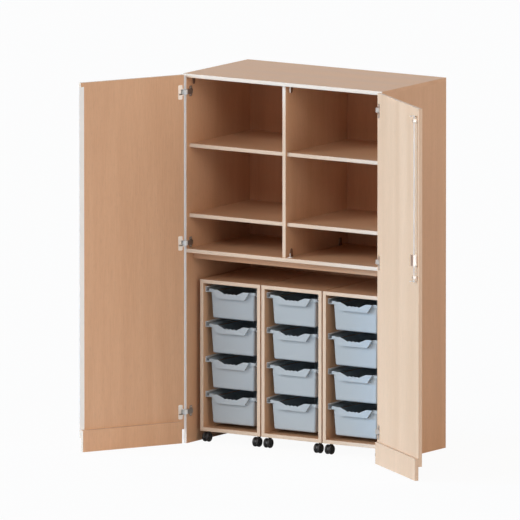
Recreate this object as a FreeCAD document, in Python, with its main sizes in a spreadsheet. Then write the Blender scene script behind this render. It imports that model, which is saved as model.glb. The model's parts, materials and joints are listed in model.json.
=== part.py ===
"""A tall garage cupboard: shelves above, and a floor-level bay below that parks three tray trolleys.

Frame: millimetres, +Z up, +X to the right, +Y to the back. The origin is on the floor under the middle
of the carcass. Both doors stand open, as far as the angles in the sheet say.
"""
import FreeCAD, Part
import os
import re

doc = FreeCAD.newDocument("garage_cupboard")
sheet = doc.addObject("Spreadsheet::Sheet", "Sizes")

SIZES = {
    # carcass
    "cabinet_width": 1200, "cabinet_depth": 600, "cabinet_height": 1900,
    "board": 19, "back_board": 8, "deck_top": 1002, "rail_drop": 38, "rail_setback": 62,
    "divider_setback": 15, "back_lift": 60, "wall_hole": 6, "wall_hole_pitch": 1000, "wall_hole_drop": 60,
    # loose shelves on pins
    "shelf_setback": 28, "shelf_play": 1, "upper_rise": 537, "lower_rise": 178,
    "pin_bore": 5, "pin_seat": 8, "pin_reach": 7, "pin_margin": 60,
    # doors and their kick boards
    "overshoot": 1, "door_gap": 2, "door_reveal": 1, "meeting_gap": 3, "door_top_drop": 5, "door_foot": 76,
    "kick_height": 110, "kick_lift": 6, "kick_play": 4, "left_open_angle": 117.5, "right_open_angle": 143,
    # hinges: the pin stands this far in from the side and in front of the carcass
    "pivot_inset": 3.5, "pivot_front": 14.5, "hinge_pin": 3, "pin_play": 0.1, "eye": 6, "pin_tall": 44,
    "arm_tall": 24, "arm_wide": 7, "arm_long": 47, "slot_play": 3, "slot_inset": 30, "slot_skin": 3,
    "wing_tall": 54, "wing_thick": 2, "wing_from": 27, "wing_long": 22,
    "flange_tall": 74, "flange_wide": 30, "flange_thick": 1.2, "hinge_margin": 88, "hinge_over_deck": 30,
    # turning-rod lock on the right door
    "rod": 8, "rod_backset": 27, "rod_standoff": 14, "rod_play": 0.1, "rod_clear": 10,
    "hook_thick": 4, "hook_inner": 20, "hook_outer": 26, "hook_sweep_angle": 50, "hook_start_angle": 350,
    "hook_clear": 12, "hook_drop": 12,
    "strike_pin": 6, "strike_throw": 16, "strike_tall": 22, "strike_base": 24, "strike_plate": 2,
    "case_wide": 38, "case_tall": 56, "case_deep": 22, "lock_rise": 121,
    "guide_wide": 16, "guide_tall": 12, "guide_inset": 26,
    "spindle": 8, "spindle_hole": 10, "spindle_seat": 7, "rosette": 34, "rosette_thick": 3,
    "grip_long": 46, "grip_wide": 14, "grip_deep": 7, "grip_round": 3, "knob_neck": 3,
    # trolleys, by their gaps to the bay
    "bay_gap": 28, "trolley_gap": 7, "headroom": 108, "trolley_setback": 84, "trolley_rear_gap": 28,
    "trolley_lift": 57, "trolley_back": 8,
    # trays and the channels that they slide in, by their gaps to the trolley
    "tray_top_gap": 29, "tray_foot_gap": 23, "tray_setback": 15, "tray_rear_gap": 37, "tray_tall": 150,
    "lip_gap": 3, "lip_tall": 16, "lip_overhang": 10, "tray_draft": 7, "tray_wall": 2.5,
    "ear_gap": 4.5, "ear_thick": 3, "ear_play": 0.3, "tray_round": 10,
    "scoop_top": 226, "scoop_foot": 166, "scoop_tall": 42, "scoop_deep": 13,
    "notch_top": 156, "notch_foot": 88, "notch_deep": 14,
    "scallop": 32, "scallop_rise": 11.5, "scallop_pitch": 22,
    "channel_tall": 29, "channel_wide": 18, "channel_wall": 2.5, "channel_rear_gap": 22,
    "channel_setback": 20,
    # twin-wheel castors
    "wheel": 50, "tread": 14, "web": 6, "wheel_play": 1, "axle": 6, "axle_play": 0.1, "axle_seat": 11.2,
    "axle_tip": 0.7, "trail": 18,
    "web_disc": 42, "castor_inset": 30, "castor_setback": 38, "boss": 20, "boss_foot": 49, "boss_gap": 0.3,
    "stem": 10, "stem_play": 0.1, "stem_seat": 12, "wheel_round": 4,
}
for row, (alias, value) in enumerate(SIZES.items(), start=1):
    sheet.set(f"A{row}", alias)
    sheet.set(f"B{row}", str(value))
    sheet.setAlias(f"B{row}", alias)
doc.recompute()

TROLLEYS = (1, 2, 3)
MIDDLE = (len(TROLLEYS) + 1) / 2
TRAYS = (1, 2, 3, 4)
SCALLOPS = (-1.5, -0.5, 0.5, 1.5)
CASTORS = {"front_left": (-1, -1), "front_right": (1, -1), "rear_left": (-1, 1), "rear_right": (1, 1)}
SIDES = {"left": -1, "right": 1}
NODES = {}


def ex(text):
    """An expression on the sheet's cells, from one written with their bare names."""
    return re.sub(r"[a-z_]+", lambda word: f"Sizes.{word[0]}" if word[0] in SIZES else word[0], str(text))


def bind(thing, **sizes):
    for name, text in sizes.items():
        thing.setExpression(name.replace("__", "."), ex(text))


def put(thing, x=0, y=0, z=0):
    bind(thing, Placement__Base__x=x, Placement__Base__y=y, Placement__Base__z=z)
    return thing


def box(x, y, z):
    """A block between two planes along each axis, each given as a pair of expressions."""
    block = doc.addObject("Part::Box", "block")
    bind(block, Length=f"({x[1]}) - ({x[0]})", Width=f"({y[1]}) - ({y[0]})", Height=f"({z[1]}) - ({z[0]})")
    return put(block, x[0], y[0], z[0])


def rod(diameter, start, length, axis="z"):
    """A round bar along an axis from its start point."""
    bar = doc.addObject("Part::Cylinder", "bar")
    bind(bar, Radius=f"({diameter}) / 2", Height=length)
    turn = {"x": ((0, 1, 0), 90), "y": ((1, 0, 0), -90), "z": ((0, 0, 1), 0)}[axis]
    bar.Placement.Rotation = FreeCAD.Rotation(FreeCAD.Vector(*turn[0]), turn[1])
    return put(bar, *start)


def taper(foot, top, z):
    """A block whose plan shrinks from top to foot; each plan is (half width, front reach, back reach)."""
    block = doc.addObject("Part::Wedge", "taper")
    bind(block, Xmin=f"-({foot[0]})", Xmax=foot[0], Zmin=f"-({foot[2]})", Zmax=foot[1],
         X2min=f"-({top[0]})", X2max=top[0], Z2min=f"-({top[2]})", Z2max=top[1], Ymin=z[0], Ymax=z[1])
    block.Placement.Rotation = FreeCAD.Rotation(FreeCAD.Vector(1, 0, 0), 90)
    return block


def fuse(*pieces):
    joined = doc.addObject("Part::MultiFuse", "joined")
    joined.Shapes = list(pieces)
    joined.Refine = True
    return joined


def cut(base, *tools):
    carved = doc.addObject("Part::Cut", "carved")
    carved.Base = base
    carved.Tool = tools[0] if len(tools) == 1 else group(*tools)
    return carved


def group(*pieces):
    """Separate solids that share one node."""
    together = doc.addObject("Part::Compound", "set")
    together.Links = list(pieces)
    return together


def rounded(base, radius, wanted):
    """The edges whose middle passes the test, rounded."""
    doc.recompute()
    smooth = doc.addObject("Part::Fillet", "rounded")
    smooth.Base = base
    edges = enumerate(base.Shape.Edges, start=1)
    smooth.Edges = [(n, radius, radius) for n, edge in edges if wanted(edge)]
    return smooth


def size(alias):
    return float(sheet.get(alias))


def direction(edge):
    return edge.tangentAt(edge.FirstParameter)


def is_upright(edge):
    return abs(direction(edge).z) > abs(direction(edge).x)


def lies_across(edge):
    """Along Y or Z, so square to X."""
    return abs(direction(edge).x) < abs(direction(edge).y) + abs(direction(edge).z)


def is_tub_edge(edge):
    """An upright corner or an edge of the floor of a tray's tub."""
    return is_upright(edge) or edge.CenterOfMass.z < size("tray_draft") - size("tray_tall")


def is_wheel_rim(edge):
    return edge.Length > size("wheel")


def node(label, thing):
    thing.Label = label
    NODES[label] = thing
    return thing


def copy(label, master, x=0, y=0, z=0):
    """Another of the same piece, placed by its own expressions."""
    link = doc.addObject("App::Link", "copy")
    link.LinkedObject = master
    return node(label, put(link, x, y, z))


# carcass boards; x, y, z of the main planes
HALF = "cabinet_width / 2"
INNER = f"{HALF} - board"
FRONT = "-cabinet_depth / 2"
BACK = "cabinet_depth / 2"
BACK_FACE = f"{BACK} - back_board"
CEILING = "cabinet_height - board"
SHELF_TOPS = ("deck_top + upper_rise", "deck_top + lower_rise")
SHELF_FRONT = f"{FRONT} + shelf_setback"


def shelf_span(side):
    """From the side panel to the divider, less the play at both ends."""
    near = "board / 2 + shelf_play"
    far = f"{INNER} - shelf_play"
    return (near, far) if side > 0 else (f"-({far})", f"-({near})")


def shelf_pins(side):
    """Pins along X under the four corners of both shelves of one column, in bores of the same size."""
    walls = (("board / 2", 1), (INNER, -1))
    pins = []
    for top in SHELF_TOPS:
        for wall, way in walls:
            for y in (f"{SHELF_FRONT} + pin_margin", f"{BACK_FACE} - pin_margin"):
                low = f"{wall} - pin_seat" if way > 0 else f"{wall} - pin_reach"
                start = low if side > 0 else f"-({low}) - pin_seat - pin_reach"
                spot = (start, y, f"{top} - board - pin_bore / 2")
                pins.append(rod("pin_bore", spot, "pin_seat + pin_reach", "x"))
    return pins


pins = {name: shelf_pins(side) for name, side in SIDES.items()}
all_pins = node("shelf_pins", group(*pins["left"], *pins["right"]))
node("top_panel", box((f"-{HALF}", HALF), (FRONT, BACK), (CEILING, "cabinet_height")))
left_board = box((f"-{HALF}", f"-({INNER})"), (FRONT, BACK), (0, CEILING))
right_board = box((INNER, HALF), (FRONT, BACK), (0, CEILING))
middle_board = box(("-board / 2", "board / 2"), (f"{FRONT} + divider_setback", BACK_FACE),
                   ("deck_top", CEILING))
node("left_side_panel", cut(left_board, *pins["left"]))
node("right_side_panel", cut(right_board, *pins["right"]))
node("centre_divider", cut(middle_board, all_pins))
node("fixed_shelf", box((f"-({INNER})", INNER), (FRONT, BACK_FACE), ("deck_top - board", "deck_top")))
RAIL_FRONT = f"{FRONT} + rail_setback"
node("stiffening_rail", box((f"-({INNER})", INNER), (RAIL_FRONT, f"{RAIL_FRONT} + board"),
                            ("deck_top - board - rail_drop", "deck_top - board")))
wall_holes = [rod("wall_hole", (f"{way} * wall_hole_pitch / 2", BACK_FACE, f"{CEILING} - wall_hole_drop"),
                  "back_board", "y") for way in SIDES.values()]
node("back_panel", cut(box((f"-({INNER})", INNER), (BACK_FACE, BACK), ("back_lift", CEILING)), *wall_holes))
shelf_run = (SHELF_FRONT, f"{BACK_FACE} - shelf_play")
shelves = [box(shelf_span(side), shelf_run, (f"{top} - board", top))
           for side in SIDES.values() for top in SHELF_TOPS]
node("adjustable_shelves", group(*shelves))

# doors: each is built closed about its own hinge axis, then swung open
DOOR_WIDE = "(cabinet_width - 2 * door_reveal - meeting_gap) / 2"
DOOR_TOP = "cabinet_height - door_top_drop"
INNER_FACE = "pivot_front - door_gap"
OUTER_FACE = "pivot_front - door_gap - board"
SLOT_FLOOR = f"{OUTER_FACE} + slot_skin"
HINGES = (f"{DOOR_TOP} - hinge_margin", "deck_top + hinge_over_deck", "door_foot + hinge_margin")


def inward(side, near, far):
    """A stretch of X between two distances in from the cabinet's outer side, about the hinge axis."""
    if side > 0:
        return f"pivot_inset - ({far})", f"pivot_inset - ({near})"
    return f"({near}) - pivot_inset", f"({far}) - pivot_inset"


def about(middle, tall):
    return f"{middle} - ({tall}) / 2", f"{middle} + ({tall}) / 2"


def hang(label, side, thing):
    """Sets a door piece on the hinge axis and turns it with the door."""
    thing.Placement.Rotation = FreeCAD.Rotation(FreeCAD.Vector(0, 0, side), 1)
    put(thing, f"{side} * ({HALF} - pivot_inset)", f"{FRONT} - pivot_front")
    bind(thing, Placement__Rotation__Angle="right_open_angle" if side > 0 else "left_open_angle")
    return node(label, thing)


def hinge_pin(z):
    return rod("hinge_pin", (0, 0, f"{z} - pin_tall / 2"), "pin_tall")


def hinge_slot(side, z):
    """The pocket, open to the door's edge and inner face, that the hinge arm folds into."""
    depth = (SLOT_FLOOR, f"{INNER_FACE} + board")
    return box(inward(side, "0", "slot_inset"), depth, about(z, "arm_tall + slot_play"))


def hinge_flange(side, z):
    """The plate on the door's inner face, forked round the arm."""
    plate = box(inward(side, "pivot_inset + eye / 4", "pivot_inset + eye / 4 + flange_wide"),
                (INNER_FACE, f"{INNER_FACE} + flange_thick"), about(z, "flange_tall"))
    return cut(plate, hinge_slot(side, z))


def hinge_arm(side, z):
    """A winged plate on the side panel's inner face and the cranked arm that carries the eye."""
    seat = "board + wing_thick"
    wing_run = ("pivot_front + wing_from", "pivot_front + wing_from + wing_long")
    wing = box(inward(side, "board", seat), wing_run, about(z, "wing_tall"))
    tall = about(z, "arm_tall")
    bar = box(inward(side, seat, f"{seat} + arm_wide"), ("-eye / 2", "pivot_front + arm_long"), tall)
    strap = box(inward(side, "pivot_inset", f"{seat} + arm_wide"), ("-eye / 2", "eye / 2"), tall)
    eye = rod("eye", (0, 0, f"{z} - arm_tall / 2"), "arm_tall")
    bore = rod("hinge_pin + pin_play", (0, 0, f"{z} - arm_tall"), "2 * arm_tall")
    arm = cut(fuse(wing, bar, strap, eye), bore)
    return put(arm, f"{side} * ({HALF} - pivot_inset)", f"{FRONT} - pivot_front")


def hinge_plates(side):
    """The door's half of its three hinges: flanges and pins."""
    flanges = [hinge_flange(side, z) for z in HINGES]
    return group(*flanges, *[hinge_pin(z) for z in HINGES])


def door_leaf(side, *more_cuts):
    width = inward(side, "door_reveal", f"door_reveal + {DOOR_WIDE}")
    leaf = box(width, (OUTER_FACE, INNER_FACE), ("door_foot", DOOR_TOP))
    slots = [hinge_slot(side, z) for z in HINGES]
    return cut(leaf, *slots, *[hinge_pin(z) for z in HINGES], *more_cuts)


def kick_board(side):
    """Screwed to the leaf's inner face, it closes the gap down to the floor."""
    return box(inward(side, "board + kick_play", f"door_reveal + {DOOR_WIDE}"),
               (INNER_FACE, f"{INNER_FACE} + board"), ("kick_lift", "kick_lift + kick_height"))


node("hinge_arms", group(*[hinge_arm(side, z) for side in SIDES.values() for z in HINGES]))
hang("left_door", -1, group(door_leaf(-1), kick_board(-1)))
hang("left_hinge_plates", -1, hinge_plates(-1))
hang("right_hinge_plates", 1, hinge_plates(1))

# lock: a key knob turns a long rod whose hooks catch a pin under the top and one on the deck
ROD_X = f"pivot_inset - (door_reveal + {DOOR_WIDE} - rod_backset)"
ROD_Y = f"{INNER_FACE} + rod_standoff"
LOCK_Z = "deck_top + lock_rise"
ROD_FOOT = "deck_top + rod_clear"
ROD_HEAD = f"{CEILING} - hook_drop - rod_clear"
GUIDES = (f"{ROD_FOOT} + guide_inset", f"{ROD_HEAD} - guide_inset")
GRIP_X = f"{ROD_X} + case_wide / 2"


def turned(thing, angle, x, y, z):
    """Sets a piece down at a point, turned about +Z by an angle of the sheet."""
    thing.Placement.Rotation = FreeCAD.Rotation(FreeCAD.Vector(0, 0, 1), 1)
    put(thing, x, y, z)
    bind(thing, Placement__Rotation__Angle=angle)
    return thing


def hook(z):
    """A ring finger that swings behind the strike pin, on a spoke at its trailing end."""
    disc = rod("2 * hook_outer", (ROD_X, ROD_Y, z), "hook_thick")
    ring = cut(disc, rod("2 * hook_inner", (ROD_X, ROD_Y, z), "hook_thick"))
    sector = rod("2 * (hook_outer + overshoot)", (0, 0, 0), "hook_thick")
    bind(sector, Angle="hook_sweep_angle")
    finger = doc.addObject("Part::Common", "finger")
    finger.Base = ring
    finger.Tool = turned(sector, "hook_start_angle", ROD_X, ROD_Y, z)
    spoke = box((0, "(hook_inner + hook_outer) / 2"), (0, "rod"), (0, "hook_thick"))
    corner = (f"{ROD_X} + rod / 2 * sin(hook_start_angle)", f"{ROD_Y} - rod / 2 * cos(hook_start_angle)", z)
    return fuse(finger, turned(spoke, "hook_start_angle", *corner))


def strike(plate_z, pin_z, pin_tall):
    """A plate with one pin, in line with the rod when the door is shut."""
    x = f"{HALF} - pivot_inset + {ROD_X}"
    y = f"{FRONT} - pivot_front + {ROD_Y} + strike_throw"
    plate = box(about(x, "strike_base"), (f"{y} - strike_base / 4", f"{y} + 3 * strike_base / 4"), plate_z)
    return fuse(plate, rod("strike_pin", (x, y, pin_z), pin_tall))


def guide(z):
    block = box(about(ROD_X, "guide_wide"), (INNER_FACE, f"{ROD_Y} + guide_wide / 2"), about(z, "guide_tall"))
    return cut(block, rod("rod + rod_play", (ROD_X, ROD_Y, f"{z} - guide_tall"), "2 * guide_tall"))


TOP_PIN = "(strike_tall + hook_drop)"
node("lock_strikes", group(strike(("deck_top", "deck_top + strike_plate"), "deck_top", "strike_tall"),
                           strike((f"{CEILING} - strike_plate", CEILING), f"{CEILING} - {TOP_PIN}", TOP_PIN)))
ROSETTE_FACE = f"{OUTER_FACE} - rosette_thick"
NECK = f"{ROSETTE_FACE} - knob_neck"
spindle_bore = rod("spindle_hole", (GRIP_X, ROSETTE_FACE, LOCK_Z), "board + 2 * rosette_thick", "y")
knob_run = f"{INNER_FACE} + spindle_seat - ({NECK})"
knob_bore = rod("spindle + rod_play", (GRIP_X, NECK, LOCK_Z), f"{knob_run} + overshoot", "y")
rod_bore = rod("rod + rod_play", (ROD_X, ROD_Y, f"{LOCK_Z} - case_tall"), "2 * case_tall")
case = box((f"{ROD_X} - rod", f"{ROD_X} - rod + case_wide"), (INNER_FACE, f"{INNER_FACE} + case_deep"),
           about(LOCK_Z, "case_tall"))
rosette = rod("rosette", (GRIP_X, ROSETTE_FACE, LOCK_Z), "rosette_thick", "y")
hang("right_door", 1, group(door_leaf(1, spindle_bore), kick_board(1)))
guides = [guide(z) for z in GUIDES]
hang("lock_case", 1, group(cut(case, rod_bore, knob_bore), cut(rosette, knob_bore), *guides))
hang("lock_rod", 1, fuse(rod("rod", (ROD_X, ROD_Y, ROD_FOOT), f"{ROD_HEAD} - ({ROD_FOOT})"),
                         hook("deck_top + hook_clear"), hook(f"{CEILING} - hook_drop - hook_clear - hook_thick")))
grip = box(about(GRIP_X, "grip_wide"), (f"{NECK} - grip_deep", NECK), about(LOCK_Z, "grip_long"))
grip = rounded(grip, size("grip_round"), lies_across)
hang("lock_knob", 1, fuse(grip, rod("spindle", (GRIP_X, NECK, LOCK_Z), knob_run, "y")))

# trolleys: one carcass, one tray and one castor, repeated; their own frame has y = 0 at the front
BAY_WIDE = "(cabinet_width - 2 * board - 2 * bay_gap)"
T_WIDE = f"(({BAY_WIDE} - {len(TROLLEYS) - 1} * trolley_gap) / {len(TROLLEYS)})"
T_DEEP = "(cabinet_depth - back_board - trolley_setback - trolley_rear_gap)"
T_HEAD = "(deck_top - board - rail_drop - headroom)"
T_HALF = f"{T_WIDE} / 2"
T_INNER = f"{T_HALF} - board"
T_TOP = f"{T_HEAD} - board"
T_FLOOR = "trolley_lift + board"
T_BACK_FACE = f"{T_DEEP} - trolley_back"
TRAY_DEEP = f"({T_BACK_FACE} - tray_setback - tray_rear_gap)"
TOP_RIM = f"({T_TOP} - tray_top_gap)"
LOW_RIM = f"({T_FLOOR} + tray_foot_gap + tray_tall)"
RIM_STEP = f"({TOP_RIM} - {LOW_RIM}) / {len(TRAYS) - 1}"
TRAY_Z = [f"{TOP_RIM} - {n - 1} * {RIM_STEP}" for n in TRAYS]
STEM_Y = {-1: "castor_setback", 1: f"{T_DEEP} - castor_setback"}
STEMS = {name: (f"{x} * ({T_HALF} - castor_inset)", STEM_Y[y]) for name, (x, y) in CASTORS.items()}


def trolley_carcass():
    seat = "stem_seat + stem_play"
    sockets = [rod("stem + stem_play", (x, y, "trolley_lift"), seat) for x, y in STEMS.values()]
    floor = box((f"-({T_INNER})", T_INNER), (0, T_DEEP), ("trolley_lift", T_FLOOR))
    sides = [box((low, high), (0, T_DEEP), ("trolley_lift", T_TOP))
             for low, high in ((f"-{T_HALF}", f"-({T_INNER})"), (T_INNER, T_HALF))]
    top = box((f"-{T_HALF}", T_HALF), (0, T_DEEP), (T_TOP, T_HEAD))
    back = box((f"-({T_INNER})", T_INNER), (T_BACK_FACE, T_DEEP), (T_FLOOR, T_TOP))
    return group(*sides, cut(floor, *sockets), top, back)


def channel(way, rim):
    """A C-shaped runner screwed to the trolley's side; the tray's ear slides on its lower leg."""
    y = ("channel_setback", f"{T_BACK_FACE} - channel_rear_gap")
    foot = f"{rim} - lip_tall - ear_play - channel_wall"
    wall = T_INNER
    tip = f"{T_INNER} - channel_wide"
    x = (tip, wall) if way > 0 else (f"-({wall})", f"-({tip})")
    hollow = (tip, f"{wall} - channel_wall") if way > 0 else (f"-({wall}) + channel_wall", f"-({tip})")
    bar = box(x, y, (foot, f"{foot} + channel_tall"))
    return cut(bar, box(hollow, y, (f"{foot} + channel_wall", f"{foot} + channel_tall - channel_wall")))


def tray():
    """A drafted tub hung by two ears, with a scoop handle that has a scalloped notch; z = 0 at its rim."""
    depth = TRAY_DEEP
    lip_half = f"({T_INNER} - channel_wide - lip_gap)"
    ear_half = f"({T_INNER} - channel_wall - ear_gap)"
    half = f"{lip_half} - lip_overhang"
    wall = "tray_wall"
    inner_round = size("tray_round") - size("tray_wall")

    def tub(inset, floor, lid):
        inner = f"{half} - {inset}"
        plan = (inner, f"-tray_draft - {inset}", f"{depth} - tray_draft - lip_tall / 2 - {inset}")
        lower = (f"{inner} - tray_draft", f"{plan[1]} - tray_draft", f"{plan[2]} - tray_draft")
        return taper(lower, plan, (floor, lid))

    outer = rounded(tub(0, "-tray_tall", "-lip_tall"), size("tray_round"), is_tub_edge)
    inner = tub(wall, f"{wall} - tray_tall", f"-lip_tall + ear_thick + {wall}")
    inner = rounded(inner, inner_round, is_tub_edge)
    lip = box((f"-{lip_half}", lip_half), (0, depth), ("-lip_tall", 0))
    lip = rounded(lip, size("tray_round"), is_upright)
    well = box((f"-{lip_half} + {wall}", f"{lip_half} - {wall}"), (wall, f"{depth} - {wall}"),
               ("ear_thick - lip_tall", "overshoot"))
    well = rounded(well, inner_round, is_upright)
    ears = box((f"-{ear_half}", ear_half), ("tray_round", depth),
               ("-lip_tall", "ear_thick - lip_tall"))

    def scoop(inset, lid, back):
        return taper((f"scoop_foot / 2 - {inset}", f"scoop_deep - {inset}", back),
                     (f"scoop_top / 2 - {inset}", f"scoop_deep - {inset}", back),
                     (f"-scoop_tall + {inset}", lid))

    reach = "2 * scoop_deep"
    notch = taper(("notch_foot / 2", reach, "tray_round"), ("notch_top / 2", reach, "tray_round"),
                  ("-notch_deep", 0))
    scallops = [rod("scallop", (f"{n} * scallop_pitch", f"-{reach}", "scallop_rise - notch_deep"),
                    f"{reach} + tray_round", "y") for n in SCALLOPS]
    bulge = scoop(0, 0, "3 * tray_draft")
    hollow = scoop(wall, "overshoot", "3 * tray_draft")
    return cut(fuse(outer, lip, ears, bulge), fuse(inner, well, hollow, notch, *scallops))


def castor_fork():
    """The web between the wheels, with the axle below and the stem that swivels in the trolley's floor."""
    y = "-trail"
    z = "wheel / 2"
    web = fuse(rod("web_disc", ("-web / 2", y, z), "web", "x"),
               box(("-web / 2", "web / 2"), (f"{y} + web", "boss / 2 - web / 2"), (z, "boss_foot + web")))
    boss = rod("boss", (0, 0, "boss_foot"), "trolley_lift - boss_gap - boss_foot")
    stem = rod("stem", (0, 0, "boss_foot"), "trolley_lift + stem_seat - boss_foot")
    half_axle = "web / 2 + wheel_play + axle_seat"
    axle = rod("axle", (f"-({half_axle})", y, z), f"2 * ({half_axle})", "x")
    return fuse(web, boss, stem, axle)


def castor_wheels():
    """Two rounded treads, each with a blind bore for its end of the axle."""
    half_bore = "web / 2 + wheel_play + axle_seat + axle_tip"
    bore = rod("axle + axle_play", (f"-({half_bore})", "-trail", "wheel / 2"), f"2 * ({half_bore})", "x")
    treads = []
    for start in ("web / 2 + wheel_play", "-web / 2 - wheel_play - tread"):
        disc = rod("wheel", (start, "-trail", "wheel / 2"), "tread", "x")
        treads.append(cut(rounded(disc, size("wheel_round"), is_wheel_rim), bore))
    return group(*treads)


carcass = trolley_carcass()
channels = group(*[channel(way, rim) for rim in TRAY_Z for way in SIDES.values()])
tub = tray()
fork = castor_fork()
wheels = castor_wheels()
for number in TROLLEYS:
    place = (f"({number} - {MIDDLE}) * ({T_WIDE} + trolley_gap)", f"{FRONT} + trolley_setback", 0)
    copy(f"trolley_{number}_carcass", carcass, *place)
    copy(f"trolley_{number}_runners", channels, *place)
    for tray_number, rim in zip(TRAYS, TRAY_Z):
        copy(f"tray_{number}_{tray_number}", tub, place[0], f"{place[1]} + tray_setback", rim)
    for corner, (x, y) in STEMS.items():
        spot = (f"{place[0]} + {x}", f"{place[1]} + {y}")
        copy(f"castor_{number}_{corner}", fork, *spot)
        copy(f"wheels_{number}_{corner}", wheels, *spot)

doc.recompute()
failed = [thing.Name for thing in doc.Objects if {"Invalid", "Error"} & set(thing.State)]
assert not failed, failed
os.makedirs("parts", exist_ok=True)
for label, thing in NODES.items():
    shape = Part.getShape(thing)
    assert not shape.isNull() and shape.isValid(), label
    shape.exportStep(f"parts/{label}.step")
    print(label, len(shape.Solids), round(shape.Volume / 1000, 1), "cm3")
print(len(NODES), "nodes")
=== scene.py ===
# %% [markdown]
# # A garage cupboard, dressed step by step
# The cupboard is a tall beech-decor carcass with two doors. Shelves fill its upper half, and its lower half
# is an open bay at floor level that parks three tray trolleys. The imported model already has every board,
# hinge, tray and castor at its real size, so this lesson only adds what the eye expects: finishes, edge
# bands, pressed hinge leaves, screws, wheels and light. All lengths are metres, in the model's own frame.

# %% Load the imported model
import json
import math

import bmesh
import bpy
import numpy as np
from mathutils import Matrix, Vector


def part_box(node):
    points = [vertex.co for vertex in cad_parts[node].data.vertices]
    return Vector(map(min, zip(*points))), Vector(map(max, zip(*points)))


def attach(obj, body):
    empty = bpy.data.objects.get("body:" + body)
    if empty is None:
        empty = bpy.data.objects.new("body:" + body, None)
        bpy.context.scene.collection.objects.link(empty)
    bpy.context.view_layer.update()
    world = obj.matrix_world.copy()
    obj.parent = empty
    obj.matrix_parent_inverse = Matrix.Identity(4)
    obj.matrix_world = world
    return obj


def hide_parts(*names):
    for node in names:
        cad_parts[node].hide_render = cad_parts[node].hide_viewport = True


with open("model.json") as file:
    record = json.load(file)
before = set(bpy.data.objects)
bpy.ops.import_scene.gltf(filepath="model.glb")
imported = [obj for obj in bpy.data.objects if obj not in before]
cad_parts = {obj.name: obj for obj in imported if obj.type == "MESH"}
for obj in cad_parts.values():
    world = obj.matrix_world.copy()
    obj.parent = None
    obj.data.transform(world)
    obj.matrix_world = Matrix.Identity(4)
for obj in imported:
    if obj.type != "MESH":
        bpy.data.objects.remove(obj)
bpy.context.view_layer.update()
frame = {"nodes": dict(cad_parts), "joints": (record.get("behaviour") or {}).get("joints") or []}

MM = 0.001

# %% [markdown]
# ## Surfaces from arrays
# Every new piece is a grid of points that numpy works out in one go. Two helpers turn such grids into a
# mesh: one lists the quads between neighbouring points, and one joins several patches into a single object.
# Writing whole arrays keeps the formula of a shape in view, which a chain of mesh edits would hide.

# %% Grid and mesh helpers
SHARP_ANGLE = math.radians(40)
MERGE = 1e-6


def grid_quads(rows, columns, wrap=False):
    """Quads between neighbouring rows and columns; wrap joins the last column to the first."""
    i, j = np.meshgrid(np.arange(rows - 1), np.arange(columns if wrap else columns - 1), indexing="ij")
    right = (j + 1) % columns
    near, far = i * columns, (i + 1) * columns
    return np.stack([near + j, near + right, far + right, far + j], axis=-1).reshape(-1, 4).tolist()


def thickened(patch, offset):
    """A sheet as a closed plate: its points, the same moved by the offset, and a wall on each free edge."""
    points, faces = patch
    count = len(points)
    edges = {}
    for face in faces:
        for a, b in zip(face, face[1:] + face[:1]):
            edges.setdefault(frozenset((a, b)), []).append((a, b))
    free = [pairs[0] for pairs in edges.values() if len(pairs) == 1]
    walls = [[b, a, a + count, b + count] for a, b in free]
    moved = [[k + count for k in face[::-1]] for face in faces]
    return np.concatenate([points, points + offset]), faces + moved + walls


def joined(*patches):
    """Several (points, faces) patches as one, each with its faces counted on from the last."""
    points = np.concatenate([patch[0] for patch in patches])
    starts = np.cumsum([0] + [len(patch[0]) for patch in patches[:-1]])
    faces = [[start + k for k in face] for (_, some), start in zip(patches, starts) for face in some]
    return points, faces


def face_out(mesh):
    """Doubles merged, then every closed shell turned so that its faces point out."""
    work = bmesh.new()
    work.from_mesh(mesh)
    bmesh.ops.remove_doubles(work, verts=work.verts, dist=MERGE)
    bmesh.ops.recalc_face_normals(work, faces=work.faces)
    work.to_mesh(mesh)
    work.free()


def piece(name, body, patch, material, finish=None):
    """A finished piece: a mesh that moves with one body; finish numbers the materials of its faces."""
    mesh = bpy.data.meshes.new(name)
    mesh.from_pydata(patch[0].tolist(), [], patch[1])
    if finish is not None:
        mesh.polygons.foreach_set("material_index", finish)
    face_out(mesh)
    mesh.polygons.foreach_set("use_smooth", np.ones(len(mesh.polygons), dtype=bool))
    mesh.set_sharp_from_angle(angle=SHARP_ANGLE)
    mesh.materials.append(material)
    made = bpy.data.objects.new(name, mesh)
    bpy.context.scene.collection.objects.link(made)
    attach(made, body)
    return made


def clusters(values, gap):
    """Middles of the runs that the values fall into; a step wider than the gap starts a new run."""
    values = np.sort(values)
    runs = np.split(values, np.where(np.diff(values) > gap)[0] + 1)
    return [float(run[0] + run[-1]) / 2 for run in runs]


def node_points(name):
    """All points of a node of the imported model, as an array."""
    mesh = frame["nodes"][name].data
    flat = np.empty(len(mesh.vertices) * 3, dtype=np.float32)
    mesh.vertices.foreach_get("co", flat)
    return flat.reshape(-1, 3).astype(float)


print("helpers ready")

# %% [markdown]
# ## Shared effects
# Several finishes need the same three effects, so each is a node group that is built once. *Beech figure*
# prints the grain of a decor paper: slow tone, fine streaks along the grain and the short brown flecks that
# beech is known for. The arris group finds the arrises of a shape with a bevelled normal and lightens them,
# partly as wear and partly as a painted highlight. *Handling* breaks up gloss where hands and cloths have
# been. The shaders themselves stay in the materials.

# %% Node helpers
def add(tree, kind, values=(), **settings):
    """A node with its settings, and some of its input sockets filled in."""
    made = tree.nodes.new(kind)
    for name, value in settings.items():
        setattr(made, name, value)
    for socket, value in dict(values).items():
        made.inputs[socket].default_value = value
    return made


def wire(tree, *pairs):
    """Links from each first socket to its second."""
    for source, target in pairs:
        tree.links.new(source, target)


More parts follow.
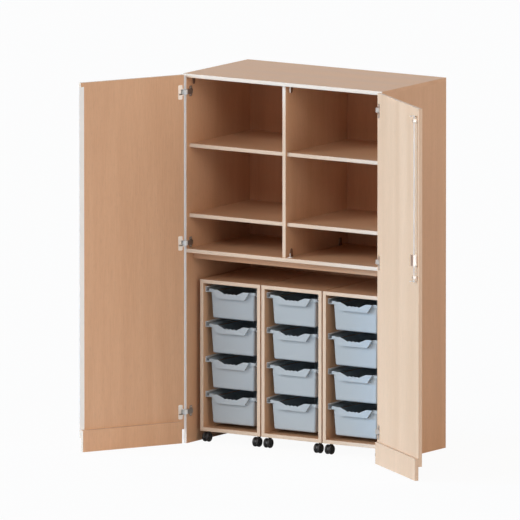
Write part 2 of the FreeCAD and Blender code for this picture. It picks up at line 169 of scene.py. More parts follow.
def mix(tree, kind):
    """A mix node of one data type, as its factor, first, second and result sockets."""
    made = add(tree, "ShaderNodeMix", data_type=kind)
    factor, first, second = (socket for socket in made.inputs if socket.enabled)
    return factor, first, second, next(socket for socket in made.outputs if socket.enabled)


def new_group(name, inputs, outputs):
    """An empty shader group with typed sockets; an input's third item is its default."""
    tree = bpy.data.node_groups.new(name, "ShaderNodeTree")
    for label, kind, value in inputs:
        socket = tree.interface.new_socket(label, in_out="INPUT", socket_type=kind)
        socket.default_value = value
    for label, kind in outputs:
        tree.interface.new_socket(label, in_out="OUTPUT", socket_type=kind)
    given = tree.nodes.new("NodeGroupInput").outputs
    return tree, given, tree.nodes.new("NodeGroupOutput").inputs


COLOUR = "NodeSocketColor"
NUMBER = "NodeSocketFloat"
TRIPLE = "NodeSocketVector"
print("node helpers ready")

# %% The beech figure group
TONE_SHARE = 0.62
STREAK_SHARE = 0.38


def beech_figure_group():
    """Tone, streaks and flecks from three stretched noises: tone and streaks, each with its share, add up and
    run the colour from dark to light, and flecks lie on top."""
    tree, given, result = new_group(
        "beech_figure",
        [("Place", TRIPLE, (0, 0, 0)), ("Stretch", TRIPLE, (1, 1, 0.06)),
         ("Light", COLOUR, (1, 1, 1, 1)), ("Dark", COLOUR, (0.5, 0.4, 0.3, 1)),
         ("Fleck", COLOUR, (0.3, 0.2, 0.1, 1)), ("Fleck Share", NUMBER, 0.5)],
        [("Color", COLOUR), ("Height", NUMBER), ("Roughness", NUMBER)])
    spread = add(tree, "ShaderNodeVectorMath", operation="MULTIPLY")
    tone = add(tree, "ShaderNodeTexNoise", {"Scale": 9, "Detail": 3, "Roughness": 0.55, "Distortion": 0.6})
    streak = add(tree, "ShaderNodeTexNoise", {"Scale": 160, "Detail": 2, "Roughness": 0.6})
    fleck = add(tree, "ShaderNodeTexNoise", {"Scale": 620, "Detail": 1, "Roughness": 0.4})
    figure = add(tree, "ShaderNodeMath", {1: TONE_SHARE}, operation="MULTIPLY")
    total = add(tree, "ShaderNodeMath", {1: STREAK_SHARE}, operation="MULTIPLY_ADD")
    contrast = add(tree, "ShaderNodeMapRange", {"From Min": 0.34, "From Max": 0.66})
    spots = add(tree, "ShaderNodeMapRange", {"From Min": 0.60, "From Max": 0.68})
    share = add(tree, "ShaderNodeMath", operation="MULTIPLY")
    toned, dark, light, body = mix(tree, "RGBA")
    speckle, plain, brown, speckled = mix(tree, "RGBA")
    gloss = add(tree, "ShaderNodeMapRange", {"To Min": 0.42, "To Max": 0.56})
    wire(tree, (given["Place"], spread.inputs[0]), (given["Stretch"], spread.inputs[1]))
    for noise in (tone, streak, fleck):
        wire(tree, (spread.outputs[0], noise.inputs["Vector"]))
    wire(tree, (tone.outputs["Fac"], figure.inputs[0]), (streak.outputs["Fac"], total.inputs[0]),
         (figure.outputs[0], total.inputs[2]), (total.outputs[0], contrast.inputs["Value"]),
         (fleck.outputs["Fac"], spots.inputs["Value"]), (spots.outputs[0], share.inputs[0]),
         (given["Fleck Share"], share.inputs[1]))
    wire(tree, (contrast.outputs[0], toned), (given["Dark"], dark), (given["Light"], light),
         (share.outputs[0], speckle), (body, plain), (given["Fleck"], brown))
    wire(tree, (speckled, result["Color"]), (total.outputs[0], result["Height"]),
         (contrast.outputs[0], gloss.inputs["Value"]), (gloss.outputs[0], result["Roughness"]))
    return tree


BEECH_FIGURE = beech_figure_group()
print("group:", BEECH_FIGURE.name)

# %% The arris wear-and-highlight and handling groups
FINE_SHARE = 0.35


def arris_wear_and_highlight_group():
    """Wear and a painted highlight on the arrises follow the dot of the bevelled and the flat normal: zero on
    a face, where the dot is one, and full on an arris."""
    tree, given, result = new_group(
        "arris_wear_and_highlight", [("Color", COLOUR, (1, 1, 1, 1)), ("Worn", COLOUR, (1, 1, 1, 1)),
                      ("Reach", NUMBER, 0.001), ("Amount", NUMBER, 0.5)],
        [("Color", COLOUR), ("Mask", NUMBER)])
    bevel = add(tree, "ShaderNodeBevel", samples=4)
    flat = add(tree, "ShaderNodeNewGeometry")
    dot = add(tree, "ShaderNodeVectorMath", operation="DOT_PRODUCT")
    mask = add(tree, "ShaderNodeMapRange", {"From Min": 0.995, "From Max": 0.80})
    patchy = add(tree, "ShaderNodeTexNoise", {"Scale": 60, "Detail": 2})
    place = add(tree, "ShaderNodeTexCoord")
    broken = add(tree, "ShaderNodeMath", operation="MULTIPLY")
    amount = add(tree, "ShaderNodeMath", operation="MULTIPLY")
    wear_and_highlight, fresh, lighter_arris, mixed = mix(tree, "RGBA")
    wire(tree, (given["Reach"], bevel.inputs["Radius"]), (bevel.outputs[0], dot.inputs[0]),
         (flat.outputs["Normal"], dot.inputs[1]), (dot.outputs["Value"], mask.inputs["Value"]),
         (place.outputs["Object"], patchy.inputs["Vector"]), (mask.outputs[0], broken.inputs[0]),
         (patchy.outputs["Fac"], broken.inputs[1]), (broken.outputs[0], amount.inputs[0]),
         (given["Amount"], amount.inputs[1]), (amount.outputs[0], wear_and_highlight), (given["Color"], fresh),
         (given["Worn"], lighter_arris), (mixed, result["Color"]), (amount.outputs[0], result["Mask"]))
    return tree


def handling_group():
    """Roughness between two values, carried by a slow noise with a fine one riding on it."""
    tree, given, result = new_group(
        "handling", [("Place", TRIPLE, (0, 0, 0)), ("Smooth", NUMBER, 0.3), ("Rough", NUMBER, 0.5),
                     ("Grain", NUMBER, 900)],
        [("Roughness", NUMBER), ("Height", NUMBER)])
    slow = add(tree, "ShaderNodeTexNoise", {"Scale": 14, "Detail": 4, "Roughness": 0.6})
    fine = add(tree, "ShaderNodeTexNoise", {"Detail": 2, "Roughness": 0.5})
    both = add(tree, "ShaderNodeMath", {1: FINE_SHARE}, operation="MULTIPLY_ADD")
    span = add(tree, "ShaderNodeMapRange", {"From Min": 0.4, "From Max": 0.95})
    wire(tree, (given["Place"], slow.inputs["Vector"]), (given["Place"], fine.inputs["Vector"]),
         (given["Grain"], fine.inputs["Scale"]), (fine.outputs["Fac"], both.inputs[0]),
         (slow.outputs["Fac"], both.inputs[2]), (both.outputs[0], span.inputs["Value"]),
         (given["Smooth"], span.inputs["To Min"]), (given["Rough"], span.inputs["To Max"]),
         (span.outputs[0], result["Roughness"]), (fine.outputs["Fac"], result["Height"]))
    return tree


# lighter arrises: partly wear, partly a painted highlight
ARRIS_WEAR_AND_HIGHLIGHT = arris_wear_and_highlight_group()
HANDLING = handling_group()
print("groups:", ARRIS_WEAR_AND_HIGHLIGHT.name, HANDLING.name)

# %% [markdown]
# ## Beech-decor boards
# The boards are chipboard with a printed beech paper under melamine, so their colour is even and their
# grain small. The grain runs up the doors and sides, and along the shelves, top and rails, so the same
# figure group is used with two stretches. On a trolley, upright and level boards share a node: there the
# object's own normal picks the direction of the grain. The bands on the front edges of the carcass and
# trolleys are painted paler, with streaks along their length: a painted highlight of edges that face the
# lamps. The back panel is a thinner board painted redder: a painted shade of the dim, deep bays.

# %% Board materials
BEECH_LIGHT = (0.665, 0.400, 0.240, 1)
BEECH_DARK = (0.585, 0.335, 0.190, 1)
BEECH_FLECK = (0.40, 0.26, 0.16, 1)
# painted shade: the back board is redder than the beech, standing in for the warm dim shade deep in the bays
PAINTED_SHADE_BACK_LIGHT = (0.660, 0.335, 0.180, 1)
PAINTED_SHADE_BACK_DARK = (0.580, 0.280, 0.145, 1)
# painted highlight: the carcass and trolley bands are paler than the beech because their front edges face the
# lamps
PAINTED_HIGHLIGHT_BAND_LIGHT = (0.77, 0.63, 0.50, 1)
PAINTED_HIGHLIGHT_BAND_DARK = (0.71, 0.56, 0.43, 1)
DOOR_BAND_LIGHT = (0.71, 0.52, 0.37, 1)
DOOR_BAND_DARK = (0.64, 0.44, 0.30, 1)
UPRIGHT = (1, 1, 0.05)
LEVEL = (0.05, 1, 1)
LEVEL_FROM = 0.7
BOARD_FLECKS = 0.30
BAND_FLECKS = 0.20


def new_material(name, **sockets):
    """A material whose shader has some sockets set; returns it, its tree, its shader and the coordinates."""
    material = bpy.data.materials.new(name)
    material.use_nodes = True
    tree = material.node_tree
    shader = tree.nodes["Principled BSDF"]
    for label, value in sockets.items():
        shader.inputs[label.replace("_", " ")].default_value = value
    return material, tree, shader, tree.nodes.new("ShaderNodeTexCoord").outputs


def use(tree, group, **values):
    """A placed group with its own values."""
    placed = tree.nodes.new("ShaderNodeGroup")
    placed.node_tree = group
    for label, value in values.items():
        placed.inputs[label.replace("_", " ")].default_value = value
    return placed


def beech(name, stretch, light=BEECH_LIGHT, dark=BEECH_DARK, flecks=BOARD_FLECKS):
    """Printed beech: the figure group gives colour, roughness and a faint relief."""
    material, tree, shader, place = new_material(name, Specular_IOR_Level=0.5)
    figure = use(tree, BEECH_FIGURE, Stretch=stretch, Light=light, Dark=dark, Fleck=BEECH_FLECK,
                 Fleck_Share=flecks)
    bump = add(tree, "ShaderNodeBump", {"Strength": 0.10, "Distance": 0.0004})
    wire(tree, (place["Object"], figure.inputs["Place"]),
         (figure.outputs["Color"], shader.inputs["Base Color"]),
         (figure.outputs["Roughness"], shader.inputs["Roughness"]),
         (figure.outputs["Height"], bump.inputs["Height"]), (bump.outputs[0], shader.inputs["Normal"]))
    return material, tree, figure, place


def beech_both_ways(name):
    """Grain up the upright faces and along the level ones, picked by the size of the normal's z."""
    material, tree, figure, place = beech(name, UPRIGHT)
    parts = add(tree, "ShaderNodeSeparateXYZ")
    size = add(tree, "ShaderNodeMath", operation="ABSOLUTE")
    level = add(tree, "ShaderNodeMath", {1: LEVEL_FROM}, operation="GREATER_THAN")
    turn, up, along, grain = mix(tree, "VECTOR")
    up.default_value = UPRIGHT
    along.default_value = LEVEL
    wire(tree, (place["Normal"], parts.inputs[0]), (parts.outputs["Z"], size.inputs[0]),
         (size.outputs[0], level.inputs[0]), (level.outputs[0], turn), (grain, figure.inputs["Stretch"]))
    return material


BEECH_UPRIGHT = beech("beech_upright", UPRIGHT)[0]
BEECH_LEVEL = beech("beech_level", LEVEL)[0]
BEECH_TROLLEY = beech_both_ways("beech_trolley")
# painted shade: the redder back board
PAINTED_SHADE_BACK_BOARD = beech("back_board", UPRIGHT, PAINTED_SHADE_BACK_LIGHT, PAINTED_SHADE_BACK_DARK)[0]


def band_finishes(name, light, dark):
    """The finishes of upright and of level bands."""
    return [beech(f"{name}_{way}", stretch, light, dark, BAND_FLECKS)[0]
            for way, stretch in (("upright", UPRIGHT), ("level", LEVEL))]


# painted highlight: these bands are painted pale to stand in for the lit front edges
PAINTED_HIGHLIGHT_BANDS = band_finishes("beech_band_painted_highlight", PAINTED_HIGHLIGHT_BAND_LIGHT, PAINTED_HIGHLIGHT_BAND_DARK)
DOOR_BANDS = band_finishes("beech_door_band", DOOR_BAND_LIGHT, DOOR_BAND_DARK)
print("board finishes ready")

# %% [markdown]
# ## Metal and plastic
# Hinges and lock parts are nickel-plated pressings, so they mirror the bright room in a slightly brushed
# way; the hinge arms are a darker steel, a painted shade that keeps them dim. The trays are injection-moulded
# in a pale blue-grey with a fine satin texture, the runners are a lighter grey, and the castors are black.
# Moulded edges catch light: the arris group lightens them, as wear and as a painted highlight.

# %% Metal and plastic materials
# wear and painted highlight: metal arrises are lightened towards this colour
WORN_AND_HIGHLIT_METAL = (0.95, 0.95, 0.95, 1)
METAL_REACH = 0.6 * MM
METAL_WEAR_AND_HIGHLIGHT = 0.6
PLASTIC_REACH = 1.2 * MM
PLASTIC_WEAR_AND_HIGHLIGHT = 0.5
RELIEF = 0.0002


def surfaced(made, wear_and_highlight, texture, strength):
    """Wires a material: the colour with arrises lightened as wear and as a painted highlight, and a texture
    that gives roughness and a fine relief.
    """
    material, tree, shader, place = made
    bump = add(tree, "ShaderNodeBump", {"Strength": strength, "Distance": RELIEF})
    wire(tree, (wear_and_highlight.outputs["Color"], shader.inputs["Base Color"]),
         (place["Object"], texture.inputs["Place"]),
         (texture.outputs["Roughness"], shader.inputs["Roughness"]),
         (texture.outputs["Height"], bump.inputs["Height"]), (bump.outputs[0], shader.inputs["Normal"]))
    return material


def metal(name, colour, smooth, rough):
    """Plated steel: full metal with fine brushing in its roughness and relief."""
    made = new_material(name, Metallic=1.0)
    # lighter arrises: wear and a painted highlight
    wear_and_highlight = use(made[1], ARRIS_WEAR_AND_HIGHLIGHT, Color=colour, Worn=WORN_AND_HIGHLIT_METAL, Reach=METAL_REACH, Amount=METAL_WEAR_AND_HIGHLIGHT)
    brushed = use(made[1], HANDLING, Smooth=smooth, Rough=rough, Grain=1800)
    return surfaced(made, wear_and_highlight, brushed, strength=0.06)


def moulded(name, colour, wear_and_highlight_colour, smooth, rough):
    """Moulded plastic: an even colour with lighter arrises, as wear and as a painted highlight, a satin of
    uneven gloss and a fine texture.
    """
    made = new_material(name, Specular_IOR_Level=0.45)
    # lighter arrises: wear and a painted highlight
    wear_and_highlight = use(made[1], ARRIS_WEAR_AND_HIGHLIGHT, Color=colour, Worn=wear_and_highlight_colour, Reach=PLASTIC_REACH, Amount=PLASTIC_WEAR_AND_HIGHLIGHT)
    satin = use(made[1], HANDLING, Smooth=smooth, Rough=rough, Grain=1400)
    return surfaced(made, wear_and_highlight, satin, strength=0.08)


NICKEL = metal("nickel_plate", (0.80, 0.78, 0.75, 1), 0.28, 0.45)
# painted shade: the hinge arms get a steel much darker than the nickel leaves, so that they read as shaded
SHADED_ARM_STEEL = metal("satin_steel_painted_shade", (0.40, 0.37, 0.34, 1), 0.40, 0.58)
TRAY_PLASTIC = moulded("tray_plastic", (0.44, 0.505, 0.55, 1), (0.62, 0.66, 0.69, 1), 0.34, 0.50)
RUNNER_PLASTIC = moulded("runner_plastic", (0.58, 0.59, 0.60, 1), (0.75, 0.75, 0.75, 1), 0.35, 0.5)
PALE_PLASTIC = moulded("pale_plastic", (0.86, 0.87, 0.86, 1), (0.92, 0.92, 0.92, 1), 0.35, 0.5)
CASTOR_PLASTIC = moulded("castor_plastic", (0.012, 0.012, 0.013, 1), (0.06, 0.06, 0.06, 1), 0.3, 0.45)
TYRE_PLASTIC = moulded("tyre_plastic", (0.016, 0.016, 0.017, 1), (0.05, 0.05, 0.05, 1), 0.42, 0.6)
CONNECTOR_PLASTIC = moulded("connector_plastic", (0.16, 0.075, 0.040, 1), (0.25, 0.13, 0.08, 1), 0.4, 0.55)
print("metal and plastic finishes ready")

# %% Give the model's own pieces their finish
FINISH_BY_START = {
    "top_panel": BEECH_LEVEL, "fixed_shelf": BEECH_LEVEL, "stiffening_rail": BEECH_LEVEL,
    "adjustable_shelves": BEECH_LEVEL, "back_panel": PAINTED_SHADE_BACK_BOARD, "trolley": BEECH_TROLLEY,
    "tray": TRAY_PLASTIC, "castor": CASTOR_PLASTIC, "wheels": TYRE_PLASTIC, "hinge_arms": SHADED_ARM_STEEL,
    "left_hinge": NICKEL, "right_hinge": NICKEL, "lock": NICKEL, "shelf_pins": NICKEL,
}


def finish_of(name):
    """The finish that the node's name asks for; upright beech where none is listed."""
    if name.endswith("_runners"):
        return RUNNER_PLASTIC
    named = (made for start, made in FINISH_BY_START.items() if name.startswith(start))
    return next(named, BEECH_UPRIGHT)


for name, thing in frame["nodes"].items():
    thing.data.materials.clear()
    thing.data.materials.append(finish_of(name))
print("finished nodes:", len(frame["nodes"]))

# %% [markdown]
# ## Where the doors stand
# A door is easiest to dress while it is shut, in a frame of its own: x along its width from the hinge axis,
# y from its outer to its inner face, z up. The joint gives the axis, and its lower limit is the shut door,
# so turning by that limit leads back to the shut place. The same turn, the other way, takes new points out
# again.

# %% Door frames
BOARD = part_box("top_panel")[1].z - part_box("top_panel")[0].z
JOINTS = {joint["name"]: joint for joint in frame["joints"]}
HINGES_APART = 0.2


class Door:
    """A door's own frame: shut, with the origin on its hinge axis."""

    def __init__(self, side, sign):
        joint = JOINTS[f"{side}_door_hinge"]
        self.side = side
        self.sign = sign
        self.axis = np.array([joint["pos_m"][0], joint["pos_m"][1], 0.0])
        angle = math.radians(-joint["range_deg"][0]) * joint["axis"][2]
        cos, sin = math.cos(angle), math.sin(angle)
        self.turn = np.array([[cos, -sin, 0], [sin, cos, 0], [0, 0, 1]])
        leaf = self.shut(node_points(f"{side}_door"))
        self.low, self.high = leaf.min(axis=0), leaf.max(axis=0)
        self.inner = self.low[1] + BOARD
        self.hinges = clusters(node_points(f"{side}_hinge_plates")[:, 2], HINGES_APART)

    def shut(self, points):
        """Turn back about the axis: (point - axis) times the transpose of the turn."""
        return (points - self.axis) @ self.turn

    def opened(self, points):
        """Out to the resting place: turn times point, plus the axis."""
        return points @ self.turn.T + self.axis

    def from_edge(self, inset):
        """The x that lies this far in from the hinge edge of the leaf."""
        return self.high[0] - inset if self.sign > 0 else self.low[0] + inset


LEFT_DOOR = Door("left", -1)
RIGHT_DOOR = Door("right", 1)
DOORS = (LEFT_DOOR, RIGHT_DOOR)
for door in DOORS:
    print(door.side, "door hinges at", [round(z, 3) for z in door.hinges])

# %% [markdown]
# ## Edge bands
# Chipboard edges are hidden under a glued plastic band, with its two long arrises scraped round. It is
# paler than the faces; on the carcass and trolleys it is paler still, a painted highlight of edges that
# face the lamps. A chamfer on the board would look the same from afar, but the band is a thing of its own:
# it catches a thin highlight, so each is a real strip. Its profile is a flat crown with a quarter round at
# both sides, carried along the edge, and its two ends are capped.

# %% The band's shape
BAND_THICK = 0.5 * MM
BAND_SINK = 0.1 * MM
ROUND_STEPS = 5
FRONT = (0, -1, 0)


def band(start, along, across, out):
    """A strip on an edge: p = start + v * along + a(u) * across + b(u) * out, where (a, b) goes round a crown
    with two quarter rounds as large as the strip is thick, v is 0 or 1, and the end loops close as caps."""
    start, along, across, out = (np.asarray(way, dtype=float) for way in (start, along, across, out))
    width = np.linalg.norm(across)
    bend = np.linspace(0, math.pi / 2, ROUND_STEPS)
    inset, rise = BAND_THICK * (1 - np.cos(bend)), BAND_THICK * np.sin(bend)
    a = np.concatenate([[0.0], inset, width - inset[::-1], [width]])
    b = np.concatenate([[-BAND_SINK], rise, rise[::-1], [-BAND_SINK]])
    loop = a[:, None] * (across / width) + b[:, None] * (out / np.linalg.norm(out))
    count = len(loop)
    points = np.concatenate([start + loop, start + along + loop])
    caps = [list(range(count))[::-1], list(range(count, 2 * count))]
    return points, grid_quads(2, count, wrap=True) + caps


def banded(name, body, upright, level, finishes):
    """All bands of one body as a piece with two finishes: upright strips first, then level ones."""
    points, faces = joined(*upright, *level)
    split = sum(len(patch[1]) for patch in upright)
    finish = (np.arange(len(faces)) >= split).astype(np.int32)
    made = piece(name, body, (points, faces), finishes[0], finish)
    made.data.materials.append(finishes[1])
    print(name, "strips:", len(upright) + len(level))
    return made


def front_band(low, high):
    """The band on the front of an upright or level board, from the board's box."""
    wide, tall = (high[0] - low[0], 0, 0), (0, 0, high[2] - low[2])
    along, across = (tall, wide) if tall[2] > wide[0] else (wide, tall)
    return band(low, along, across, FRONT)


# %% Bands of the carcass and shelves
def shelf_boxes():
    """The four loose shelves of one node, told apart by their column and height."""
    points = node_points("adjustable_shelves")
    boxes = []
    for column in (points[:, 0] < 0, points[:, 0] > 0):
        for top in (points[:, 2] > points[:, 2].mean(), points[:, 2] < points[:, 2].mean()):
            some = points[column & top]
            boxes.append((some.min(axis=0), some.max(axis=0)))
    return boxes


upright_boards = [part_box(name) for name in ("left_side_panel", "right_side_panel", "centre_divider")]
level_boards = [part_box("top_panel"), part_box("fixed_shelf"), *shelf_boxes()]
banded("carcass_edge_bands", "cabinet", [front_band(*box) for box in upright_boards],
       [front_band(*box) for box in level_boards], PAINTED_HIGHLIGHT_BANDS)

# %% Bands of the trolleys
TROLLEYS = (1, 2, 3)

for number in TROLLEYS:
    low, high = (np.array(corner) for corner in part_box(f"trolley_{number}_carcass"))
    size = high - low
    sides = [band((x, low[1], low[2]), (0, 0, size[2] - BOARD), (BOARD, 0, 0), FRONT)
             for x in (low[0], high[0] - BOARD)]
    top = band((low[0], low[1], high[2] - BOARD), (size[0], 0, 0), (0, 0, BOARD), FRONT)
    floor = band((low[0] + BOARD, low[1], low[2]), (size[0] - 2 * BOARD, 0, 0), (0, 0, BOARD), FRONT)
    banded(f"trolley_{number}_edge_bands", f"trolley_{number}", sides, [top, floor], PAINTED_HIGHLIGHT_BANDS)

# %% Bands of the doors
ARM_TALL = 24 * MM
POCKET_PLAY = 3 * MM
POCKET_CLEAR = 0.3 * MM
POCKET_HALF = 0.5 * (ARM_TALL + POCKET_PLAY) + POCKET_CLEAR


def stretches(low, high, gaps, half):
    """What is left of low to high once a stretch of this half length is taken out round each gap."""
    cuts = sorted([(gap - half, gap + half) for gap in gaps])
    starts = [low] + [cut[1] for cut in cuts]
    ends = [cut[0] for cut in cuts] + [high]
    return list(zip(starts, ends))


def door_bands(door):
    """Bands on the four edges of the leaf, with room for the hinges, and on two edges of the kick board."""
    low, high = door.low, door.high
    points = door.shut(node_points(f"{door.side}_door"))
    kick = points[points[:, 1] > door.inner + BAND_THICK]
    foot, crown = kick[:, 2].min(), kick[:, 2].max()
    leaf_foot = points[points[:, 1] < door.inner - BAND_THICK][:, 2].min()
    hinge_x, meeting_x = (high[0], low[0]) if door.sign > 0 else (low[0], high[0])
    outward, inward = (door.sign, 0, 0), (-door.sign, 0, 0)
    thick = (0, BOARD, 0)
    upright = [band((hinge_x, low[1], a), (0, 0, b - a), thick, outward)
               for a, b in stretches(leaf_foot, high[2], door.hinges, POCKET_HALF)]
    upright.append(band((meeting_x, low[1], leaf_foot), (0, 0, high[2] - leaf_foot), thick, inward))
    upright.append(band((meeting_x, door.inner, foot), (0, 0, crown - foot), thick, inward))
    width = (high[0] - low[0], 0, 0)
    level = [band((low[0], low[1], high[2]), width, thick, (0, 0, 1)),
             band((low[0], low[1], leaf_foot), width, thick, (0, 0, -1)),
             band((kick[:, 0].min(), door.inner, crown), (np.ptp(kick[:, 0]), 0, 0), thick, (0, 0, 1))]
    placed = [[(door.opened(spots), faces) for spots, faces in strips] for strips in (upright, level)]
    return banded(f"{door.side}_door_edge_bands", f"{door.side}_door", *placed, DOOR_BANDS)


for door in DOORS:
    door_bands(door)

# %% [markdown]
# ## Stop strip
# A pale strip on the inside of the left door overlaps the right one, so that the lock holds both. It is a
# thin sheet with a small step where it leaves the leaf, so that the right door shuts clear of it, and it
# ends short of the top and of the kick board.

# %% The strip on the left door
STRIP_ON_LEAF = 17.5 * MM
STRIP_OVERLAP = 10.5 * MM
STRIP_THICK = 0.9 * MM
STRIP_RISE = 0.4 * MM
STRIP_RISE_LONG = 2 * MM
STRIP_BELOW_TOP = 20 * MM
STRIP_FOOT = 118 * MM


def stepped_strip(edge_x, inner, foot, head):
    """Point(v, u) = (edge_x + a(u), inner + b(u), z(v)): the section (a, b) lies flat on the leaf, rises past
    its edge and goes on level, z runs from foot to head, and the sheet is given its thickness inwards."""
    section = [(-STRIP_ON_LEAF, 0), (0, 0), (STRIP_RISE_LONG, STRIP_RISE), (STRIP_OVERLAP, STRIP_RISE)]
    points = np.array([(edge_x + a, inner + b, z) for z in (foot, head) for a, b in section])
    return thickened((points, grid_quads(2, len(section))), np.array([0, STRIP_THICK, 0]))


strip_head = LEFT_DOOR.high[2] - STRIP_BELOW_TOP
points, faces = stepped_strip(LEFT_DOOR.high[0], LEFT_DOOR.inner, STRIP_FOOT, strip_head)
piece("stop_strip", "left_door", (LEFT_DOOR.opened(points), faces), PALE_PLASTIC)
print("stop strip:", round(strip_head - STRIP_FOOT, 3), "m long")

# %% [markdown]
# ## Hinge leaves and screws
# A concealed hinge shows a bright pressed leaf on the door: a tall bar with two screws, flaring into a neck
# that leads to the hinge edge. The model's plate is a plain rectangle, so it is replaced. The leaf is a
# sheet between two curves: for each height its near side is given by a flare, and its far side is straight.
# A thin pan lines the pocket that the arm folds into, and a pale cap covers the front of each left arm.

# %% Turned shapes
HEAD_RINGS = np.array([1.0, 0.86, 0.66, 0.52, 0.40, 0.22])
HEAD_TURNS = 16
CROSS_HALF = 0.16
CROSS_REACH = 0.6
CROSS_DEEP = 1.2
POLE_DEEP = 0.2
STEEP = 0.9


def axes_about(axis):
    """The unit axis, and two unit vectors across it that make a right-handed frame with it."""
    axis = np.asarray(axis, dtype=float) / np.linalg.norm(axis)
    helper = np.array([0.0, 0.0, 1.0]) if abs(axis[2]) < STEEP else np.array([1.0, 0.0, 0.0])
    first = np.cross(helper, axis)
    first /= np.linalg.norm(first)
    return axis, first, np.cross(axis, first)


def lathe(profile, centre, axis, turns):
    """A profile (distance along the axis, radius) turned about it: p = centre + d * axis + r * (cos, sin).
    Its first and last radius are zero, so both poles close."""
    axis, first, second = axes_about(axis)
    profile = np.asarray(profile, dtype=float)
    angle = np.linspace(0, 2 * math.pi, turns, endpoint=False)
    ring = np.cos(angle)[:, None] * first + np.sin(angle)[:, None] * second
    middle = profile[1:-1]
    points = centre + middle[:, :1, None] * axis + middle[:, 1:, None] * ring
    ends = centre + profile[[0, -1], :1] * axis
    count = len(middle)
    body = grid_quads(count, turns, wrap=True)
    right = np.roll(np.arange(turns), -1)
    first_pole, last_pole = count * turns, count * turns + 1
    fans = [[first_pole, int(b), a] for a, b in enumerate(right)]
    last = (count - 1) * turns
    fans += [[last + a, last + int(b), last_pole] for a, b in enumerate(right)]
    return np.concatenate([points.reshape(-1, 3), ends]), [face[::-1] for face in body + fans]


def screw_head(centre, axis, radius, height):
    """A low dome with a cross recess. Its height over the seat is h * (1 - (r / R)^2)^(1/2), less a recess
    where r is small enough and x or y lies within the half width of the cross."""
    angle = np.linspace(0, 2 * math.pi, HEAD_TURNS, endpoint=False)
    r, t = np.meshgrid(HEAD_RINGS * radius, angle, indexing="ij")
    narrow = np.minimum(np.abs(np.cos(t)), np.abs(np.sin(t))) * r
    recess = (narrow < CROSS_HALF * radius) & (r < CROSS_REACH * radius)
    dome = np.sqrt(np.maximum(0.0, 1 - (r / radius) ** 2))
    lift = height * (dome - recess * CROSS_DEEP)
    axis, first, second = axes_about(axis)
    x, y = r * np.cos(t), r * np.sin(t)
    points = centre + lift[..., None] * axis + x[..., None] * first + y[..., None] * second
    pole = centre - POLE_DEEP * height * axis
    rings = len(HEAD_RINGS)
    last = (rings - 1) * HEAD_TURNS
    faces = grid_quads(rings, HEAD_TURNS, wrap=True)
    faces += [[last + k, last + (k + 1) % HEAD_TURNS, rings * HEAD_TURNS] for k in range(HEAD_TURNS)]
    faces.append(list(range(HEAD_TURNS))[::-1])
    return np.concatenate([points.reshape(-1, 3), pole[None]]), faces


print("turned shapes ready")

# %% The pressed leaf and its pan
LEAF_HALF = 37 * MM
LEAF_THICK = 0.8 * MM
BAR_NEAR = 9 * MM
BAR_FAR = 33.5 * MM
NECK_NEAR = 3 * MM
NECK_HALF = 21 * MM
FLARE_LONG = 6 * MM
FLARE_POWER = 1.5
SHEET = 0.15 * MM
POCKET_LONG = 28.8 * MM
BEYOND_POCKET = 29.2 * MM
POCKET_FLOOR = 3.0 * MM
PAN_FROM_EDGE = 0.5 * MM
ROUND_END = 6 * MM
LEAF_ROWS = 24
LEAF_COLUMNS = 9
BAR_ROWS = 5
BAR_COLUMNS = 4


def leaf_half(door, z, way):
    """Half of the pressed leaf, above (way 1) or below the pocket. Up to a flare's length under the neck's
    half height the near side is at the neck, then it goes back to the bar as a quarter wave, and the bar's
    end is rounded by a circle at both corners."""
    t = np.linspace(POCKET_HALF, LEAF_HALF, LEAF_ROWS)
    flare = np.clip((t - NECK_HALF + FLARE_LONG) / FLARE_LONG, 0, 1)
    near = NECK_NEAR + (BAR_NEAR - NECK_NEAR) * np.sin(flare * math.pi / 2) ** FLARE_POWER
    over = np.clip(t - (LEAF_HALF - ROUND_END), 0, ROUND_END)
    ends = ROUND_END - np.sqrt(np.maximum(0.0, ROUND_END ** 2 - over ** 2))
    near, far = near + ends, BAR_FAR - ends
    share = np.linspace(0, 1, LEAF_COLUMNS)
    x = door.from_edge(near[:, None] + share * (far - near)[:, None])
    x, y, up = np.broadcast_arrays(x, door.inner, (z + way * t)[:, None])
    return np.stack([x, y, up], axis=-1).reshape(-1, 3), grid_quads(LEAF_ROWS, LEAF_COLUMNS)


def leaf_bar(door, z):
    """The stretch of the bar beyond the pocket: a plain rectangle between the pocket and the far side."""
    inset = np.linspace(BEYOND_POCKET, BAR_FAR, BAR_COLUMNS)
    up = np.linspace(-POCKET_HALF, POCKET_HALF, BAR_ROWS)[:, None]
    x, y, up = np.broadcast_arrays(door.from_edge(inset), door.inner, z + up)
    return np.stack([x, y, up], axis=-1).reshape(-1, 3), grid_quads(BAR_ROWS, BAR_COLUMNS)


def pan(door, z):
    """The pocket's lining: a U of sheet, a floor between two walls, carried along the pocket, closed at its
    inner end and open at the door's edge."""
    base = door.low[1] + POCKET_FLOOR + SHEET
    half = POCKET_HALF - POCKET_CLEAR - SHEET
    section = np.array([[door.inner, -half], [base, -half], [base, half], [door.inner, half]])
    inset = np.array([PAN_FROM_EDGE, POCKET_LONG])
    x, y, up = np.broadcast_arrays(door.from_edge(inset)[:, None], section[:, 0], z + section[:, 1])
    points = np.stack([x, y, up], axis=-1)
    back = np.array([[door.from_edge(POCKET_LONG), y, z + up] for y, up in section])
    return joined((points.reshape(-1, 3), grid_quads(2, 4)), (back, [[0, 1, 2, 3]]))


print("leaf half height", LEAF_HALF, "m")

